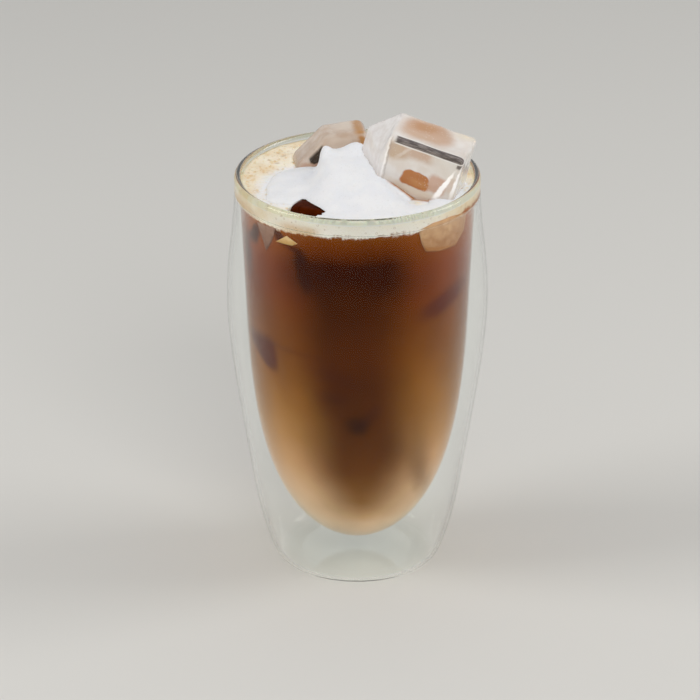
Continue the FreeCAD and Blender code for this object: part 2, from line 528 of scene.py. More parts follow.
def makeGlass():
    sizes = glassSizes
    material, _, _ = clearMaterial("clearGlass", sizes["tint"], sizes["index"], 0.0, sizes["gloss"])
    lathe = latheTree()
    values = {"Segments": sizes["segments"], "Material": material}
    body = growFrom(outlineObject("glassBody", outerProfile()), lathe, values)
    space = growFrom(outlineObject("glassSpace", spaceProfile()), lathe, values)
    glass = joined("doubleWallGlass", [facing(body), facing(space, outwards=False)], material)
    lip, _, _ = clearMaterial("lipGlass", sizes["lipTint"], sizes["index"], 0.0)
    glass.data.materials.append(lip)
    for face in glass.data.polygons:
        if face.center.z > (glassHeight - sizes["lipDepth"]) * mm:
            face.material_index = 1
    return ridden(glass, "clear_glass", "glass")


makeGlass()
print("glass: turned with its sealed space")


# effects that several materials share
def newGroup(name, inputs, outputs):
    tree = bpy.data.node_groups.new(name, "ShaderNodeTree")
    for label, value in inputs:
        kind = "NodeSocketVector" if value is None else "NodeSocketFloat"
        socket = tree.interface.new_socket(label, in_out="INPUT", socket_type=kind)
        if value is not None:
            socket.default_value = value
    for label in outputs:
        tree.interface.new_socket(label, in_out="OUTPUT", socket_type="NodeSocketFloat")
    return tree, put(tree, "NodeGroupInput").outputs


def useGroup(tree, group, links):
    return put(tree, "ShaderNodeGroup", links, node_tree=group).outputs


def patchGroup():
    # a soft-edged rounded patch; a point's X and Z are read, in millimetres across and up
    labels = [
        ("Point", None), ("Across", 0.0), ("Height", 0.0), ("Turn", 0.0), ("Width", 4.0),
        ("Tall", 4.0), ("Taper", 0.0), ("Softness", 1.0), ("Strength", 1.0), ("Squareness", 2.6),
    ]
    tree, given = newGroup("softPatch", labels, ["Mask"])
    split = partsOf(tree, given["Point"])
    across = minus(tree, split[0], given["Across"])
    up = minus(tree, split[2], given["Height"])
    cosine, sine = maths(tree, "COSINE", given["Turn"]), maths(tree, "SINE", given["Turn"])
    along = timesPlus(tree, across, cosine, times(tree, up, sine))
    over = minus(tree, times(tree, up, cosine), times(tree, across, sine))
    halfTall = times(tree, given["Tall"], 0.5)
    shareUp = maths(tree, "DIVIDE", over, halfTall)
    spread = timesPlus(tree, given["Taper"], shareUp, 1.0)
    halfWidth = times(tree, times(tree, given["Width"], 0.5), spread)
    shareAcross = maths(tree, "DIVIDE", along, maths(tree, "MAXIMUM", halfWidth, 0.05))
    power = given["Squareness"]
    wide, tall = (
        maths(tree, "POWER", maths(tree, "ABSOLUTE", share), power) for share in (shareAcross, shareUp)
    )
    reach = maths(tree, "POWER", plus(tree, wide, tall), maths(tree, "DIVIDE", 1.0, power))
    smaller = maths(tree, "MINIMUM", times(tree, given["Width"], 0.5), halfTall)
    outside = times(tree, minus(tree, reach, 1.0), smaller)
    back = times(tree, given["Softness"], -1.0)
    mask = smoothRange(tree, outside, back, given["Softness"], 1.0, 0.0)
    put(tree, "NodeGroupOutput", {"Mask": times(tree, mask, given["Strength"])})
    return tree


def bubbleGroup():
    # small round bubbles: Rim is the dark ring of each, Swell its height
    labels = [("Point", None), ("Cells", 1.0), ("Share", 0.6)]
    tree, given = newGroup("smallBubbles", labels, ["Rim", "Swell"])
    links = {"Vector": given["Point"], "Scale": given["Cells"], "Randomness": 1.0}
    cells = put(tree, "ShaderNodeTexVoronoi", links).outputs
    chosen = put(tree, "ShaderNodeSeparateColor", {0: cells["Color"]}).outputs
    kept = maths(tree, "LESS_THAN", chosen[0], given["Share"])
    away = maths(tree, "DIVIDE", cells["Distance"], timesPlus(tree, chosen[1], 0.22, 0.16))
    swell = smoothRange(tree, away, 0.2, 1.0, 1.0, 0.0)
    inner = smoothRange(tree, away, 0.55, 0.9)
    outer = smoothRange(tree, away, 0.95, 1.25, 1.0, 0.0)
    rim = times(tree, times(tree, inner, outer), kept)
    put(tree, "NodeGroupOutput", {"Rim": rim, "Swell": times(tree, swell, kept)})
    return tree


softPatch = patchGroup()
smallBubbles = bubbleGroup()


def pointInMillimetres(tree):
    return scaled(tree, put(tree, "ShaderNodeTexCoord").outputs["Object"], 1 / mm)


def cloud(tree, point, scale, newLow=0.0, newHigh=1.0, detail=3.0, low=0.3, high=0.7):
    links = {"Vector": point, "Scale": scale, "Detail": detail}
    noiseNode = put(tree, "ShaderNodeTexNoise", links)
    return smoothRange(tree, noiseNode.outputs["Fac"], low, high, newLow, newHigh)


def wobbled(tree, point, scale, reach, detail):
    # the point moved about by a slow noise, so that edges drawn with it waver
    links = {"Vector": point, "Scale": scale, "Detail": detail}
    drift = put(tree, "ShaderNodeTexNoise", links).outputs["Color"]
    drift = vectorMaths(tree, "SUBTRACT", drift, (0.5, 0.5, 0.5))
    return vectorMaths(tree, "ADD", point, scaled(tree, drift, reach))


def patched(tree, point, tone, patches, within=None, squareness=2.6):
    # each patch is its numbers in the order of the labels, and then its colour
    labels = ("Across", "Height", "Turn", "Width", "Tall", "Taper", "Softness", "Strength")
    for *numbers, patchColour in patches:
        values = dict(zip(labels, numbers), Point=point, Squareness=squareness)
        values["Turn"] = math.radians(values["Turn"])
        mask = useGroup(tree, softPatch, values)["Mask"]
        if within is not None:
            mask = times(tree, mask, within)
        tone = mixColours(tree, mask, tone, (*patchColour, 1.0))
    return tone


def toneRamp(tree, value, tones):
    # tones is a list of (height in millimetres, colour); the first and last hold beyond the ends
    low, high = tones[0][0], tones[-1][0]
    share = put(tree, "ShaderNodeMapRange", {"Value": value, "From Min": low, "From Max": high})
    ramp = put(tree, "ShaderNodeValToRGB", {0: share.outputs[0]})
    band = ramp.color_ramp
    band.elements.remove(band.elements[-1])
    for index, (height, tone) in enumerate(tones):
        element = band.elements[0] if index == 0 else band.elements.new((height - low) / (high - low))
        element.position = (height - low) / (high - low)
        element.color = (*tone, 1.0)
    return ramp.outputs[0]


# the drink is coffee that gets milkier downwards, with painted shade in its middle and painted light at its
# sides; heights and places in millimetres
drink = {
    "intoWall": 0.15,
    "swirl": 3.0,                   # how far the clouds of milk shift the tones, in millimetres
    "middle": (-2.5, 2.0),          # where the painted shade of the middle lies across the drink, high up and low down
    "shadedMiddleHeights": (92.0, 52.0),
    "shadeToLightEdges": (5.0, 28.0),     # from here to here the painted shade fades into the painted light of the sides
    "sideLitTones": [
        (8, (0.95, 0.74, 0.55)), (20, (0.93, 0.69, 0.47)), (26, (0.88, 0.60, 0.37)),
        (32, (0.82, 0.52, 0.30)), (44, (0.64, 0.34, 0.15)), (56, (0.47, 0.22, 0.06)),
        (67, (0.35, 0.14, 0.02)), (78, (0.27, 0.093, 0.007)),
        (88, (0.22, 0.066, 0.004)), (99, (0.19, 0.048, 0.002)), (109, (0.18, 0.034, 0.002)),
        (119, (0.23, 0.042, 0.002)), (127, (0.31, 0.072, 0.003)), (134, (0.36, 0.10, 0.010)),
    ],
    "shadedMiddleTones": [
        (8, (0.93, 0.68, 0.48)), (21, (0.87, 0.57, 0.34)), (24, (0.72, 0.42, 0.21)),
        (28, (0.46, 0.235, 0.09)),
        (32, (0.31, 0.135, 0.035)), (38, (0.215, 0.08, 0.015)), (45, (0.15, 0.045, 0.006)),
        (56, (0.105, 0.028, 0.003)), (67, (0.092, 0.022, 0.0025)), (78, (0.085, 0.018, 0.002)),
        (88, (0.092, 0.019, 0.002)), (99, (0.072, 0.014, 0.0015)), (109, (0.056, 0.010, 0.001)),
        (117, (0.036, 0.005, 0.001)), (122, (0.038, 0.005, 0.001)), (126, (0.10, 0.017, 0.001)),
        (130, (0.165, 0.034, 0.002)), (134, (0.21, 0.058, 0.007)),
    ],
    "finish": {"Roughness": 0.45, "Specular IOR Level": 0.0},
    "narrowing": (30.0, 54.0, 6.0, 0.0),    # between these heights the middle goes from narrow to full
    "widening": (106.0, 116.0, 0.0, -5.5),  # and between these it goes from full to wide
    "wisps": (0.92, 1.08),
    "iceFade": (-8.0, -2.0),                # the ice deep in the drink fades out from here to here
    "pocket": (0.55, 0.36, 0.22, 1.0),      # where the drink meets the ice inside
    "frontPocket": (0.16, 0.045, 0.01, 1.0),
    "pocketEdges": (35.5, 37.0),
    "pocketHeights": (108.0, 112.0),
    "pocketFront": (-17.0, -14.0),
    "wetTone": (0.40, 0.15, 0.035, 1.0),
    "wetReach": 1.3,
    "wetPlace": (9.0, 26.0, -8.0),          # from here to here across, and in front of this
    "wetEdge": 3.0,
}
# ice deep in the drink shows as soft dark patches: across, height, turn in degrees, width, height of
# the patch, taper, softness, strength, colour
deepIce = [
    (-35.2, 118.5, 3, 2.2, 15, 0.0, 1.0, 0.75, (0.05, 0.006, 0.001)),
    (-32.7, 126.8, -14, 2.4, 7.5, -0.3, 0.6, 0.85, (0.03, 0.003, 0.001)),
    (-25.0, 129.6, 32, 2.8, 5.5, 0.0, 0.7, 0.8, (0.04, 0.004, 0.001)),
    (-20.4, 126.2, -10, 4.6, 1.7, 0.0, 0.6, 0.8, (0.05, 0.006, 0.001)),
    (-17.3, 118.6, 10, 4.4, 14.0, 0.15, 0.9, 0.95, (0.035, 0.005, 0.001)),
    (-18.6, 124.2, 12, 1.4, 5.0, 0.0, 0.7, 0.6, (0.03, 0.003, 0.001)),
    (28.6, 104.6, 26, 12.5, 6.4, 0.1, 1.5, 0.9, (0.105, 0.012, 0.002)),
    (23.6, 102.4, 12, 8.0, 5.0, 0.0, 2.4, 0.6, (0.09, 0.018, 0.004)),
    (-29.6, 84.2, 24, 7.0, 12.0, 0.4, 1.3, 0.9, (0.085, 0.009, 0.002)),
    (-19.5, 88.2, -3, 17.0, 1.0, 0.0, 1.0, 0.4, (0.06, 0.01, 0.002)),
    (-7.0, 81.5, -22, 13.0, 5.0, 0.0, 2.6, 0.4, (0.06, 0.01, 0.003)),
    (-7.5, 73.6, 0, 8.0, 3.6, 0.0, 2.2, 0.5, (0.05, 0.008, 0.002)),
    (0.4, 63.2, 4, 6.4, 6.0, 0.2, 2.3, 0.9, (0.03, 0.006, 0.002)),
    (4.0, 67.0, -38, 3.2, 7.0, 0.0, 2.0, 0.6, (0.06, 0.012, 0.004)),
    (20.2, 42.5, 8, 5.6, 22.0, 0.2, 3.0, 0.75, (0.22, 0.10, 0.032)),
]


def drinkColour(tree, point):
    # the drink's colour at a point, with painted shade in its middle and painted light at its sides, before
    # what the froth and the ice do to it
    moved = wobbled(tree, point, 0.045, 2 * drink["swirl"], 2.0)
    split = partsOf(tree, moved)
    # tones by height: painted light at the sides, painted shade in the middle
    side = toneRamp(tree, split[2], drink["sideLitTones"])
    middle = toneRamp(tree, split[2], drink["shadedMiddleTones"])
    high, low = drink["shadedMiddleHeights"]
    centre = smoothRange(tree, split[2], low, high, drink["middle"][1], drink["middle"][0])
    away = maths(tree, "ABSOLUTE", minus(tree, split[0], centre))
    for change in (drink["narrowing"], drink["widening"]):
        away = plus(tree, away, smoothRange(tree, split[2], *change))
    tone = mixColours(tree, smoothRange(tree, away, *drink["shadeToLightEdges"]), middle, side)
    streaks = put(tree, "ShaderNodeMapping", {"Vector": point, "Scale": (0.07, 0.07, 0.03)}).outputs[0]
    return scaled(tree, tone, cloud(tree, streaks, 1.0, *drink["wisps"], 2.0))


# the froth is a tan band of small bubbles on the coffee
froth = {
    "voxel": 0.48,
    "foamFade": 4.2,        # how far the white of the foam runs out over the froth
    "meniscus": 0.55,
    "meniscusReach": 0.9,
    "wave": 0.22,
    "ripple": 0.1,
    "wall": 0.6,            # what is nearer to the glass than this is pushed into it
    "surface": 0.3,         # what is less far under the top than this is surface
    "finish": {
        "Roughness": 0.42, "Specular IOR Level": 0.35, "Subsurface Weight": 0.15,
        "Subsurface Radius": (1.0, 0.6, 0.35), "Subsurface Scale": 0.0012,
    },
    "relief": (0.5, 0.25),  # strength, and depth in millimetres
    "slope": 0.03,          # the line under the froth rises this much to the right
    "wander": 0.7,
    "ragged": 0.35,
    "line": (-0.75, 0.55),
    "tan": (0.84, 0.67, 0.44, 1.0),
    "cream": (0.93, 0.84, 0.67, 1.0),
    "pale": (0.99, 0.95, 0.89, 1.0),
    "brown": (0.66, 0.43, 0.20, 1.0),
    "fine": (0.92, 0.85, 0.75, 1.0),
    "paleFrom": (-34.0, -20.0),
    "paleShare": 0.85,
    "brownPlace": (19.0, 3.0, 9.0),     # left of the middle, and how far to each side
    "brownEnds": (29.0, 36.0),
    # small bubbles in the colour: cells to a millimetre, share, strength of the ring and its colour
    "rings": [(0.85, 0.28, 0.45, (0.36, 0.22, 0.11, 1.0)), (2.3, 0.5, 0.2, (0.48, 0.32, 0.18, 1.0))],
    # single larger bubbles that have burst
    "spots": [
        (-24.9, 20.1), (-27.0, 13.4), (-21.4, 14.4), (-22.6, 7.6), (-29.8, 16.4), (-18.4, 22.6),
        (-25.6, 5.0),
    ],
    "spotTone": (0.44, 0.32, 0.20),
}


def frothEdge(tree, point):
    # 1 in the froth, 0 in the coffee: the line between them wanders a little round the glass
    across, _, height = partsOf(tree, point)
    level = minus(tree, height, times(tree, across, froth["slope"]))
    for scale, reach, detail in ((0.13, froth["wander"], 2.0), (1.1, froth["ragged"], 3.0)):
        level = minus(tree, level, cloud(tree, point, scale, -reach, reach, detail))
    return smoothRange(tree, level, *(coffeeLevel + step for step in froth["line"]))


def frothColour(tree, point):
    # also gives the swell of the two sizes of bubble, for the relief
    across, depth, height = partsOf(tree, point)
    patchy = cloud(tree, point, 0.11, 0.0, 1.0, 3.0, 0.35, 0.65)
    tone = mixColours(tree, patchy, froth["tan"], froth["cream"])
    # paler in the band at the front, browner low down at its left and at both its ends
    low = smoothRange(tree, height, coffeeLevel + 0.5, frothTop - 1.0, 1.0, 0.0)
    front = smoothRange(tree, depth, *froth["paleFrom"], 1.0, 0.0)
    tone = mixColours(tree, times(tree, front, froth["paleShare"]), tone, froth["pale"])
    place, near, far = froth["brownPlace"]
    left = smoothRange(tree, maths(tree, "ABSOLUTE", plus(tree, across, place)), near, far, 0.85, 0.0)
    ends = smoothRange(tree, maths(tree, "ABSOLUTE", across), *froth["brownEnds"], 0.0, 0.9)
    browner = times(tree, maths(tree, "MAXIMUM", times(tree, front, left), ends), low)
    tone = mixColours(tree, browner, tone, froth["brown"])
    tone = mixColours(tree, cloud(tree, point, 1.6, 0.0, 0.3), tone, froth["fine"])
    swells = []
    for cells, share, strength, ring in froth["rings"]:
        bubble = useGroup(tree, smallBubbles, {"Point": point, "Cells": cells, "Share": share})
        tone = mixColours(tree, times(tree, bubble["Rim"], strength), tone, ring)
        swells.append(bubble["Swell"])
    onTop = smoothRange(tree, height, frothTop - 1.2, frothTop - 0.5)
    spots = [
        (x, y, 20 * i, 1.6 - 0.1 * i, 1.2, 0, 0.45, 0.6, froth["spotTone"])
        for i, (x, y) in enumerate(froth["spots"])
    ]
    tone = patched(tree, vectorOf(tree, across, 0.0, depth), tone, spots, onTop)
    return tone, swells


def wetOver(tree, tone):
    # brown coffee stands in the gap between the foam and the large ice block
    wet = put(tree, "ShaderNodeAttribute", attribute_name="wet").outputs["Fac"]
    return mixColours(tree, wet, tone, drink["wetTone"])


def keepWet(thing, points):
    gap = distanceTo("ice_right", points)
    low, high, farthest = drink["wetPlace"]
    edge = drink["wetEdge"]
    across = np.clip((points[:, 0] - low) / edge, 0, 1) * np.clip((high - points[:, 0]) / edge, 0, 1)
    wet = np.clip(1.5 - gap / drink["wetReach"], 0, 1) * across * (points[:, 1] < farthest)
    keepValues(thing, "wet", wet)


def pushedIntoWall(thing, distance, straightFrom=100.0):
    # level with the froth the wall is near upright, so the push is level there
    points = places(thing)
    normals = normalsOf(thing)
    radii = np.hypot(points[:, 0], points[:, 1])
    walls = np.array([bowlRadius(z) for z in points[:, 2]])
    upper = (radii > walls - 0.25) & (points[:, 2] >= straightFrom)
    points[upper, :2] *= ((walls[upper] + distance) / radii[upper])[:, None]
    lower = points[:, 2] < straightFrom
    points[lower] += normals[lower] * distance
    place(thing, points)


def makeCoffee():
    material, tree, shader, _ = newMaterial("milkCoffee", drink["finish"])
    point = pointInMillimetres(tree)
    across, depth, height = partsOf(tree, point)
    bent = wobbled(tree, point, 0.3, 1.6, 2.0)
    frontOnly = smoothRange(tree, depth, *drink["iceFade"], 1.0, 0.0)
    tone = patched(tree, bent, drinkColour(tree, point), deepIce, frontOnly)
    tone = mixColours(tree, frothEdge(tree, point), tone, frothColour(tree, point)[0])
    # the faces inside, against the ice blocks
    radius = lengthOf(tree, vectorOf(tree, across, depth))
    inside = smoothRange(tree, radius, *drink["pocketEdges"], 1.0, 0.0)
    inside = times(tree, inside, smoothRange(tree, height, *drink["pocketHeights"]))
    atFront = smoothRange(tree, depth, *drink["pocketFront"], 1.0, 0.0)
    pocket = mixColours(tree, atFront, drink["pocket"], drink["frontPocket"])
    tree.links.new(mixColours(tree, inside, tone, pocket), shader.inputs["Base Color"])
    coffee = nodeCopy("coffee", "milkCoffeeFill", material)
    pushedIntoWall(coffee, drink["intoWall"] + 0.02)
    coffee.data.shade_smooth()
    return ridden(coffee, "milk_coffee", "coffee")


makeCoffee()
print("coffee: fill reaches into the wall")


# ice that touches the glass under the froth shows as crisp pale pieces; their tones are the painted
# light, shade and refraction of the ice's facets, and the left sliver's cream is a painted highlight
sunkIce = {
    "finish": {"Roughness": 0.3, "Specular IOR Level": 0.0},
    "intoWall": 0.45,
    "heights": (112.0, 137.0),
    "depths": (-42.0, -12.0),
    "segments": 200,
    # outline on the front of the drink, across and up, and the colours at its foot and its top
    "pieces": {
        "leftPiece": (
            [(-31.9, 131.4), (-26.2, 132.2), (-27.4, 127.2), (-29.3, 122.4)],
            (0.21, 0.095, 0.06, 1.0), (0.33, 0.18, 0.125, 1.0),
        ),
        "leftSliver": (
            [(-26.1, 127.3), (-22.6, 130.6), (-19.2, 128.7), (-21.1, 127.5)],
            (0.62, 0.36, 0.13, 1.0), (0.75, 0.52, 0.26, 1.0),
        ),
        "rightPiece": (
            [
                (19.6, 133.5), (20.6, 128.5), (21.9, 125.2), (26.6, 123.7), (31.4, 123.2), (34.1, 126.9),
                (34.6, 133.5), (30.0, 135.0), (24.0, 135.0),
            ],
            (0.42, 0.20, 0.09, 1.0), (0.64, 0.38, 0.21, 1.0),
        ),
    },
    # the right piece has a browner face along its foot and goes into the drink at its right
    "faceSlope": 0.28,
    "faceEdge": (132.4, 133.0),
    "faceTone": (0.42, 0.17, 0.05, 1.0),
    "fadeFrom": (29.0, 34.0),
    "fadeTone": (0.36, 0.14, 0.03, 1.0),
}


def sunkIceMaterial(name, corners, low, high):
    material, tree, shader, _ = newMaterial(name + "Ice", sunkIce["finish"])
    point = pointInMillimetres(tree)
    across, _, height = partsOf(tree, point)
    ups = [z for _, z in corners]
    rise = smoothRange(tree, height, min(ups), max(ups))
    veined = plus(tree, rise, cloud(tree, point, 0.35, -0.3, 0.3), clamp=True)
    # painted facet light and shade, lighter towards the top
    tone = mixColours(tree, veined, low, high)
    if name == "rightPiece":
        edge = timesPlus(tree, across, sunkIce["faceSlope"], height)
        facet = smoothRange(tree, edge, *sunkIce["faceEdge"], 0.75, 0.0)
        tone = mixColours(tree, facet, tone, sunkIce["faceTone"])
        fading = smoothRange(tree, across, *sunkIce["fadeFrom"], 0.0, 0.5)
        tone = mixColours(tree, fading, tone, sunkIce["fadeTone"])
    tree.links.new(tone, shader.inputs["Base Color"])
    return material


def makeSunkIce():
    low, high = sunkIce["heights"]
    side = [(bowlRadius(h) + sunkIce["intoWall"], h) for h in np.linspace(low, high, 26)]
    values = {"Segments": sunkIce["segments"], "Material": None}
    drinkSpace = outlineObject("drinkSpace", [(0.0, low), *side, (0.0, high)])
    inside = facing(growFrom(drinkSpace, latheTree(), values))
    for name, (corners, lowTone, highTone) in sunkIce["pieces"].items():
        material = sunkIceMaterial(name, corners, lowTone, highTone)
        count = len(corners)
        points = [(x * mm, y * mm, z * mm) for y in sunkIce["depths"] for x, z in corners]
        faces = [tuple(range(count)), tuple(range(2 * count - 1, count - 1, -1))]
        faces += [(i, i + count, (i + 1) % count + count, (i + 1) % count) for i in range(count)]
        block = facing(meshObject("sunkIce_" + name, points, faces, material))
        cut = block.modifiers.new("cut", "BOOLEAN")
        cut.operation = "INTERSECT"
        cut.object = inside
        allOf(finished(block), material)
        ridden(block, "clear_ice")
    bpy.data.objects.remove(inside)


makeSunkIce()
print("sunk ice: three pieces against the glass")


# the milk foam is a white mound
foam = {
    "voxel": 0.42,
    "sinks": 0.7,
    "lumps": 0.32,          # height of the soft lumps
    "fine": 0.09,           # height of the fine relief
    "finest": 0.05,
    "white": (0.87, 0.87, 0.89, 1.0),
    "shade": (0.82, 0.83, 0.87, 1.0),
    "finish": {
        "Roughness": 0.6, "Specular IOR Level": 0.25, "Subsurface Weight": 0.35,
        "Subsurface Radius": (1.0, 0.9, 0.8), "Subsurface Scale": 0.0015,
    },
    "relief": (0.35, 0.3),  # strength, and depth in millimetres
    # bubbles in the foam: cells to a millimetre, share, strength of the ring, its colour and its relief
    "rings": [
        (1.5, 0.16, 0.3, (0.56, 0.53, 0.52, 1.0), 0.8), (3.4, 0.45, 0.14, (0.60, 0.58, 0.58, 1.0), 0.6),
    ],
}


def makeFroth():
    material, tree, shader, _ = newMaterial("coffeeFroth", froth["finish"])
    point = pointInMillimetres(tree)
    tone, (swell, tinySwell) = frothColour(tree, point)
    near = put(tree, "ShaderNodeAttribute", attribute_name="nearFoam").outputs["Fac"]
    near = plus(tree, near, cloud(tree, point, 0.5, -0.25, 0.1), clamp=True)
    tone = wetOver(tree, mixColours(tree, near, tone, foam["white"]))
    tone = mixColours(tree, frothEdge(tree, point), drinkColour(tree, point), tone)
    tree.links.new(tone, shader.inputs["Base Color"])
    grain = cloud(tree, point, 3.0, 0.0, 0.5, 3.0, 0.2, 0.8)
    height = plus(tree, plus(tree, swell, times(tree, tinySwell, 0.5)), grain)
    addRelief(tree, shader, height, *froth["relief"])
    thing = remeshed(nodeCopy("froth", "frothBand", material), froth["voxel"], 1)
    points = places(thing)
    radii = np.hypot(points[:, 0], points[:, 1])
    walls = np.array([bowlRadius(min(z, lipCentre)) for z in points[:, 2]])
    atWall = radii > walls - froth["wall"]
    points[atWall, :2] *= ((walls[atWall] + drink["intoWall"]) / radii[atWall])[:, None]
    top = points[:, 2] > frothTop - froth["surface"]
    rise = froth["meniscus"] * np.exp(-np.maximum(walls - radii, 0) / froth["meniscusReach"])
    level = points * (1, 1, 0)
    wave = froth["wave"] * noiseAt(level, 0.16) + froth["ripple"] * noiseAt(level, 0.7, 5.0)
    points[top, 2] += (rise + wave)[top]
    place(thing, points)
    keepWet(thing, points)
    near = np.clip(1 - distanceTo("milk_foam", points) / froth["foamFade"], 0, 1)
    keepValues(thing, "nearFoam", near * (points[:, 2] > frothTop - 1))
    thing.data.shade_smooth()
    return ridden(thing, "coffee_froth", "froth")


frothBand = makeFroth()
print("froth: band and surface")


def makeFoam():
    material, tree, shader, _ = newMaterial("whiteMilkFoam", foam["finish"])
    point = pointInMillimetres(tree)
    tone = mixColours(tree, cloud(tree, point, 0.12), foam["shade"], foam["white"])
    height = cloud(tree, point, 2.4, 0.0, 1.0, 4.0, 0.2, 0.8)
    for cells, share, strength, ring, depth in foam["rings"]:
        bubble = useGroup(tree, smallBubbles, {"Point": point, "Cells": cells, "Share": share})
        tone = mixColours(tree, times(tree, bubble["Rim"], strength), tone, ring)
        height = minus(tree, height, times(tree, bubble["Swell"], depth))
    # thin foam takes on the colour of the froth under it
    thick = plus(tree, partsOf(tree, point)[2], cloud(tree, point, 0.35, -0.25, 0.25))
    thin = smoothRange(tree, thick, frothTop - 0.1, frothTop + 0.9, 0.1, 0.0)
    tone = wetOver(tree, mixColours(tree, thin, tone, frothColour(tree, point)[0]))
    tree.links.new(tone, shader.inputs["Base Color"])
    addRelief(tree, shader, height, *foam["relief"])
    thing = remeshed(nodeCopy("milk_foam", "milkFoamMound", material), foam["voxel"], 2)
    points = places(thing)
    normals = normalsOf(thing)
    lumps = foam["lumps"] * noiseAt(points, 0.22) + foam["fine"] * noiseAt(points, 0.9, 3.0)
    lumps += foam["finest"] * noiseAt(points, 2.0, 7.0)
    over = np.clip((points[:, 2] - frothTop) / 1.2, 0, 1)
    points += normals * (lumps * over)[:, None]
    under = points[:, 2] < frothTop + 0.2
    points[under, 2] -= foam["sinks"]
    place(thing, points)
    keepWet(thing, points)
    thing.data.shade_smooth()
    return ridden(thing, "white_foam", "milk_foam")


makeFoam()
print("milk foam: mound")


# bubbles that stand on the froth, in millimetres
bubbles = {
    "perSquareMillimetre": 0.5,
    "apart": 0.5,
    "smallest": 0.14,
    "largest": 0.62,
    "seed": 11,
    "skew": 2.6,            # above 1, small bubbles outnumber large ones
    "flatness": 0.8,
    "film": ((0.93, 0.84, 0.70, 1.0), 1.2, 0.06),   # tint, refraction, roughness
    "surface": 0.2,         # they stand on what is less far under the top than this
    "level": 0.6,           # and on faces that point up at least this much
    "leftBack": (10.0, 22.0, 0.12),     # how far out most stand, how they thin out, the least share
    "ring": (38.0, 2.5),    # the ring of them along the glass, and how far in it thins out
    "farthest": 37.7,
}


def bubbleTree():
    tree = bpy.data.node_groups.new("bubblesOnSurface", "GeometryNodeTree")
    sockets = [
        ("Surface", "NodeSocketGeometry", None), ("Density", "NodeSocketFloat", 1.0),
        ("Apart", "NodeSocketFloat", 0.001), ("Smallest", "NodeSocketFloat", 0.0002),
        ("Largest", "NodeSocketFloat", 0.0006), ("Skew", "NodeSocketFloat", 1.0),
        ("Flatness", "NodeSocketFloat", 1.0), ("Seed", "NodeSocketInt", 1),
        ("Material", "NodeSocketMaterial", None),
    ]
    for label, kind, value in sockets:
        socket = tree.interface.new_socket(label, in_out="INPUT", socket_type=kind)
        if value is not None:
            socket.default_value = value
    tree.interface.new_socket("Bubbles", in_out="OUTPUT", socket_type="NodeSocketGeometry")
    given = put(tree, "NodeGroupInput").outputs
    share = put(tree, "GeometryNodeInputNamedAttribute", {"Name": "frothy"}, data_type="FLOAT").outputs[0]
    spots = put(
        tree, "GeometryNodeDistributePointsOnFaces",
        {
            "Mesh": given["Surface"], "Distance Min": given["Apart"], "Density Max": given["Density"],
            "Density Factor": share, "Seed": given["Seed"],
        },
        distribute_method="POISSON",
    )
    ball = put(tree, "GeometryNodeMeshIcoSphere", {"Radius": 1.0, "Subdivisions": 2})
    roll = put(tree, "FunctionNodeRandomValue", {"Seed": given["Seed"]}, data_type="FLOAT")
    skewed = maths(tree, "POWER", roll.outputs[1], given["Skew"])
    spread = minus(tree, given["Largest"], given["Smallest"])
    size = timesPlus(tree, spread, skewed, given["Smallest"])
    shape = vectorOf(tree, size, size, times(tree, size, given["Flatness"]))
    placed = put(
        tree, "GeometryNodeInstanceOnPoints",
        {
            "Points": spots.outputs["Points"], "Instance": ball.outputs[0],
            "Rotation": spots.outputs["Rotation"], "Scale": shape,
        },
    )
    real = put(tree, "GeometryNodeRealizeInstances", {"Geometry": placed.outputs[0]})
    smooth = put(tree, "GeometryNodeSetShadeSmooth", {"Geometry": real.outputs[0]})
    links = {"Geometry": smooth.outputs[0], "Material": given["Material"]}
    painted = put(tree, "GeometryNodeSetMaterial", links)
    put(tree, "NodeGroupOutput", {"Bubbles": painted.outputs[0]})
    return tree


def makeBubbles():
    material, _, _ = clearMaterial("bubbleFilm", *bubbles["film"])
    thing = added("frothBubbles", frothBand.data.copy())
    points = places(thing)
    radii = np.hypot(points[:, 0], points[:, 1])
    top = (points[:, 2] > frothTop - bubbles["surface"]) & (normalsOf(thing)[:, 2] > bubbles["level"])
    # most of them stand at the back left and along the glass
    start, reach, least = bubbles["leftBack"]
    leftBack = np.clip((-points[:, 0] * 0.7 + points[:, 1] * 0.7 + start) / reach, least, 1)
    ring, fade = bubbles["ring"]
    byWall = np.exp(-(ring - radii) / fade)
    clumps = np.clip(0.5 + 1.6 * noiseAt(points * (1, 1, 0), 0.2, 2.0), 0.05, 1)
    share = np.where(top, np.clip(leftBack * clumps + byWall, 0, 1), 0.0)
    share[radii > bubbles["farthest"]] = 0.0
    keepValues(thing, "frothy", share)
    values = {
        "Density": bubbles["perSquareMillimetre"] / mm ** 2, "Apart": bubbles["apart"] * mm,
        "Smallest": bubbles["smallest"] * mm, "Largest": bubbles["largest"] * mm,
        "Skew": bubbles["skew"], "Flatness": bubbles["flatness"],
        "Seed": bubbles["seed"], "Material": material,
    }
    allOf(growFrom(thing, bubbleTree(), values), material)
    facesOfBall = 80        # of an icosphere that is cut twice
    print("bubbles:", len(thing.data.polygons) // facesOfBall)
    return ridden(thing, "coffee_froth")


makeBubbles()


